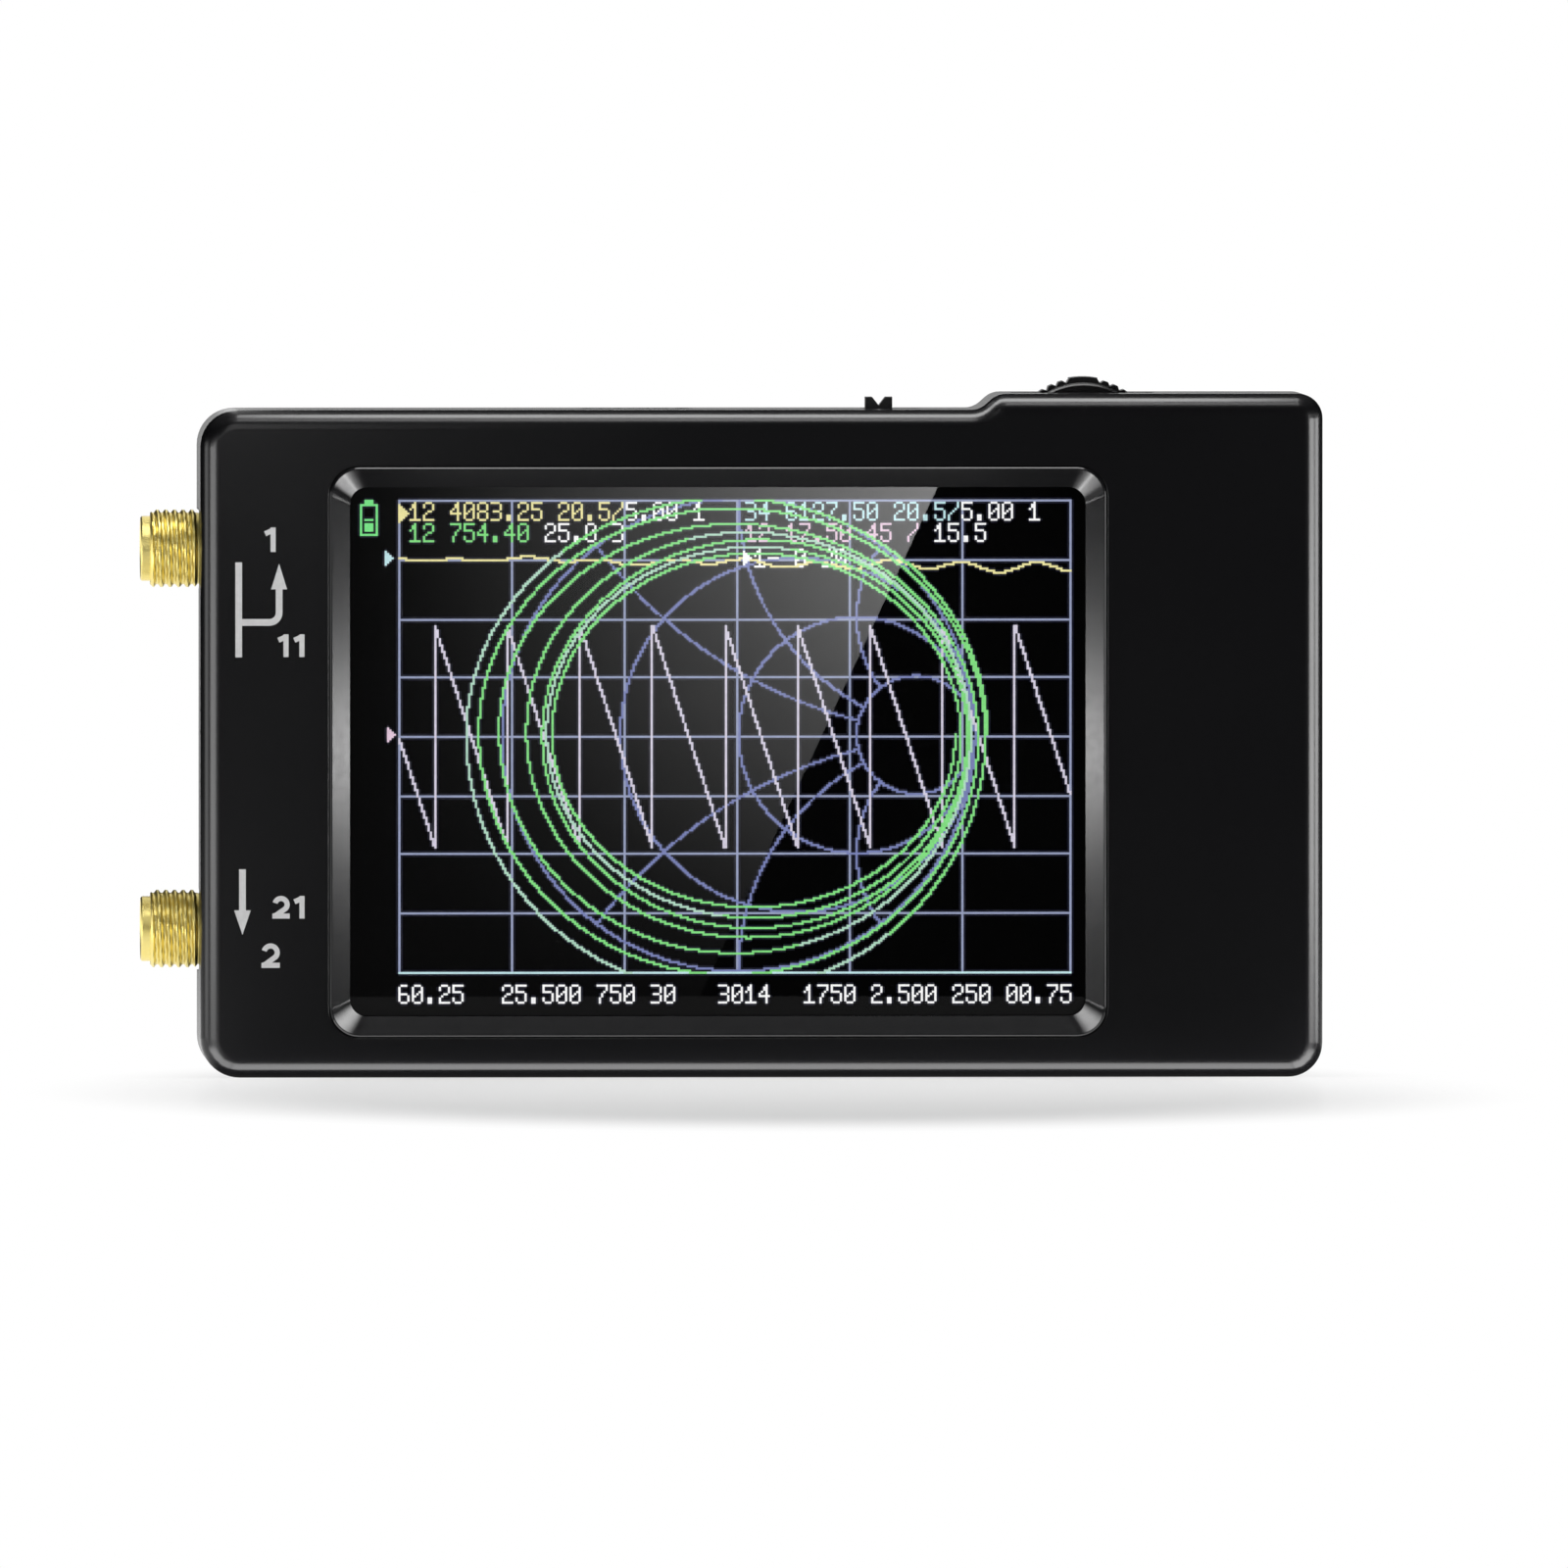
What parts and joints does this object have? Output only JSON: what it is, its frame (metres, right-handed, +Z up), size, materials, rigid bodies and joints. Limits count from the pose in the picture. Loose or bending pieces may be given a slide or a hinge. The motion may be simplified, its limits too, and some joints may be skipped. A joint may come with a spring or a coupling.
{
  "type": "antenna analyzer",
  "caption": "Handheld antenna analyzer: a colour touch display in a sloping bezel, threaded coaxial jacks on the left side, a slide power switch and a sprung thumb wheel on top.",
  "frame": {"origin": "middle of the bottom face on which the instrument stands, in the parting plane and on the axis plane of the ports", "axes": "+Z up, the display faces -Y, +X to the right seen from the display side; the ports point to -X"},
  "size_m": [0.0964, 0.0171, 0.0571],
  "materials": {
    "case_black": "satin moulded",
    "bezel_black": "gloss moulded",
    "foam_black": "matt foam",
    "touch_glass": "polished clear",
    "lcd_black": "smooth",
    "light_guide_white": "smooth",
    "tray_steel": "rolled",
    "ribbon_amber": "satin",
    "socket_white": "satin moulded",
    "board_green": "solder mask",
    "chip_black": "matt moulded",
    "can_steel": "tinned",
    "port_gold": "gold plated, polished",
    "ptfe_white": "waxy",
    "cell_foil": "foil pouch",
    "lead_red": "satin sleeve",
    "lead_black": "satin sleeve",
    "knob_black": "satin moulded",
    "wheel_black": "satin moulded",
    "dome_steel": "spring steel",
    "screw_black": "blackened",
    "insert_brass": "turned"
  },
  "bodies": {
    "case": {"front_cover": "case_black", "rear_cover": "case_black", "screen_bezel": "bezel_black", "screen_gasket": "foam_black", "touch_panel": "touch_glass", "touch_tape": "foam_black", "lcd_panel": "lcd_black", "light_guide": "light_guide_white", "screen_tray": "tray_steel", "tray_pads": "foam_black", "lcd_ribbon": "ribbon_amber", "ribbon_socket": "socket_white", "main_board": "board_green", "processor_chip": "chip_black", "radio_chips": "chip_black", "crystal_can": "can_steel", "rf_shield_1": "can_steel", "rf_shield_2": "can_steel", "sma_body_1": "port_gold", "sma_body_2": "port_gold", "sma_insulator_1": "ptfe_white", "sma_insulator_2": "ptfe_white", "sma_contact_1": "port_gold", "sma_contact_2": "port_gold", "battery_cell": "cell_foil", "battery_tape": "foam_black", "battery_lead_red": "lead_red", "battery_lead_black": "lead_black", "battery_plug": "socket_white", "battery_socket": "socket_white", "usb_shell": "can_steel", "usb_tongue": "chip_black", "card_socket": "can_steel", "power_switch_body": "chip_black", "jog_switch_body": "chip_black", "jog_dome": "dome_steel", "case_screws": "screw_black", "screw_inserts": "insert_brass"},
    "power_knob": {"power_knob": "knob_black"},
    "jog_plunger": {"jog_plunger": "knob_black", "jog_pin": "dome_steel"},
    "jog_wheel": {"jog_wheel": "wheel_black"}
  },
  "joints": [
    {"name": "power_slide", "type": "slide", "parent": "case", "child": "power_knob", "axis": [1, 0, 0], "range_m": [0, 0.002]},
    {"name": "jog_press", "type": "slide", "parent": "case", "child": "jog_plunger", "axis": [0, 0, -1], "range_m": [0, 0.0005], "stiffness_N_per_m": 4000, "deforming": ["jog_dome"]},
    {"name": "jog_turn", "type": "hinge", "parent": "jog_plunger", "child": "jog_wheel", "pos_m": [0.02659, 0.00205, 0.0506], "axis": [0, 1, 0], "range_deg": [-15, 15], "stiffness_Nm_per_rad": 0.02}
  ]
}
